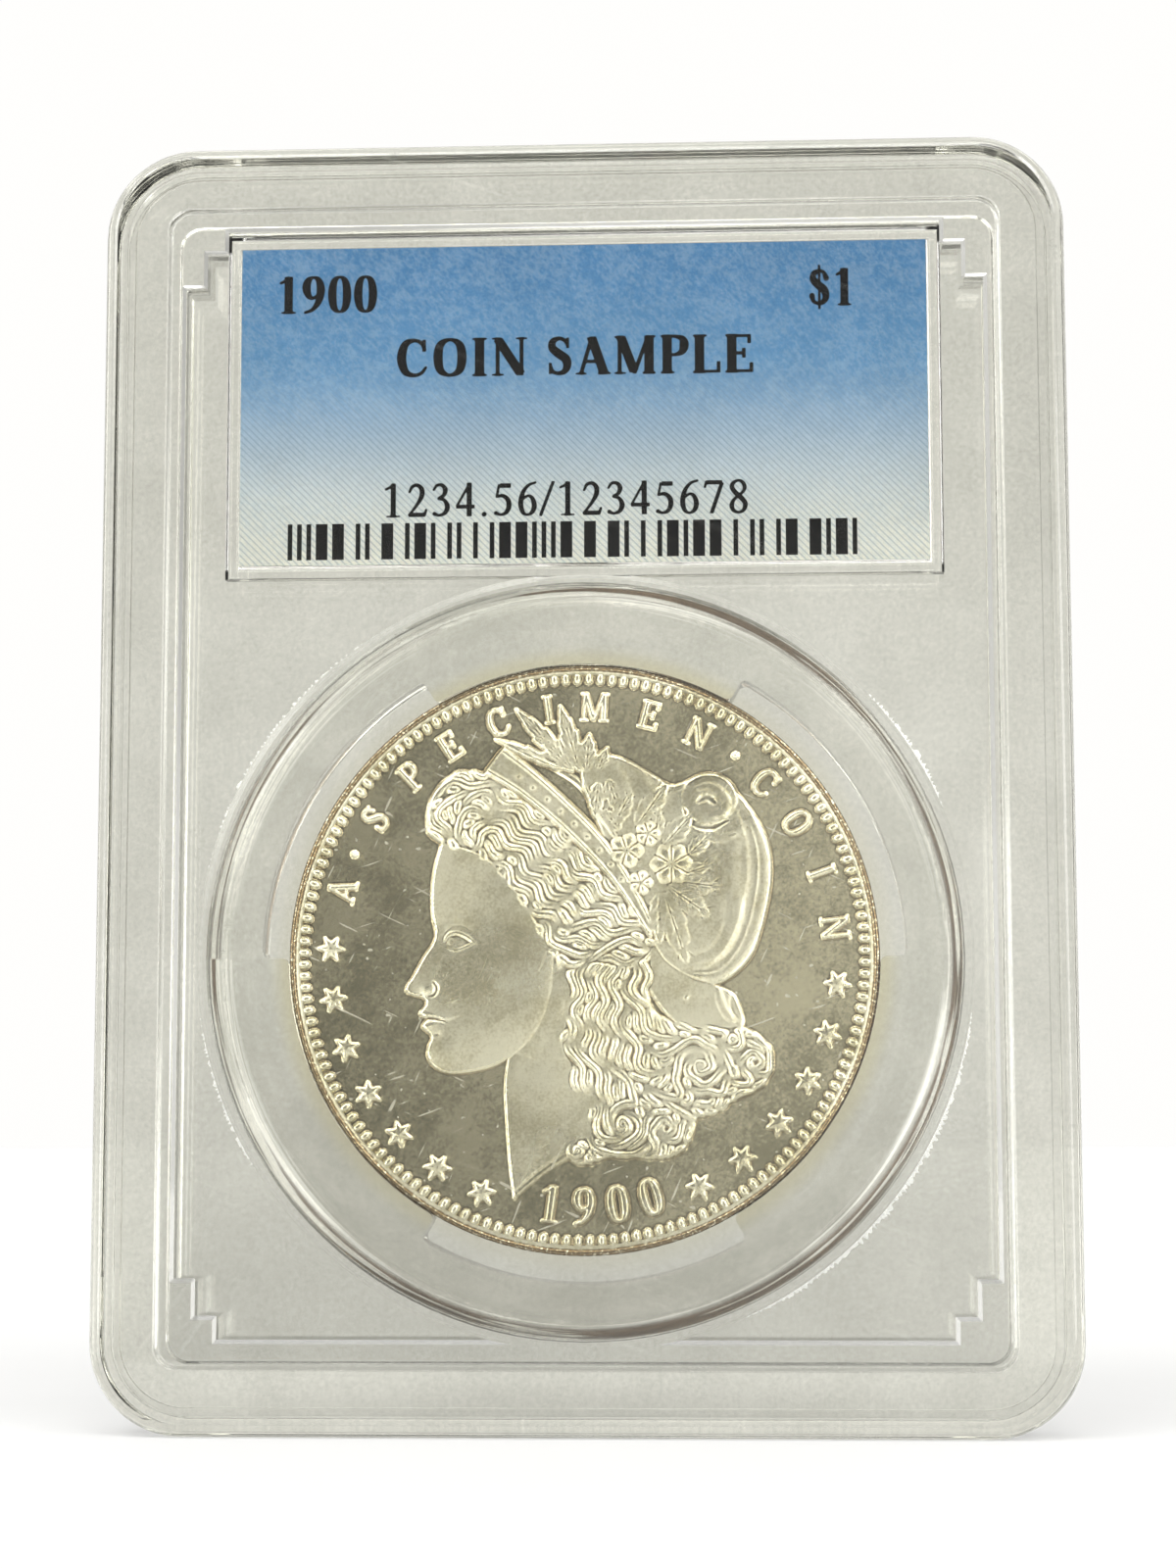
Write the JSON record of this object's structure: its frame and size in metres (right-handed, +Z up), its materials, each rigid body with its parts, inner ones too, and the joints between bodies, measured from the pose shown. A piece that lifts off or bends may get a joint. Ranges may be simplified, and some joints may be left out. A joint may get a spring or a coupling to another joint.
{
  "type": "graded coin slab",
  "caption": "Sealed clear plastic slab, its two welded shells holding a coin in a clear ring under a printed label.",
  "frame": {"origin": "middle of the bottom edge, on the surface the slab stands on", "axes": "+Z up the slab, +X to the right seen from the front, the front faces -Y"},
  "size_m": [0.0632, 0.0066, 0.0842],
  "materials": {
    "clear_plastic": "clear moulded polystyrene, polished",
    "coin_silver": "struck silver, mirror fields and frosted relief",
    "label_paper": "printed card, blue fading to white",
    "seal_foil": "bright embossed foil"
  },
  "bodies": {
    "root": {"front_shell": "clear_plastic", "rear_shell": "clear_plastic", "coin_ring": "clear_plastic", "coin": "coin_silver", "label_card": "label_paper", "security_seal": "seal_foil"}
  },
  "joints": []
}
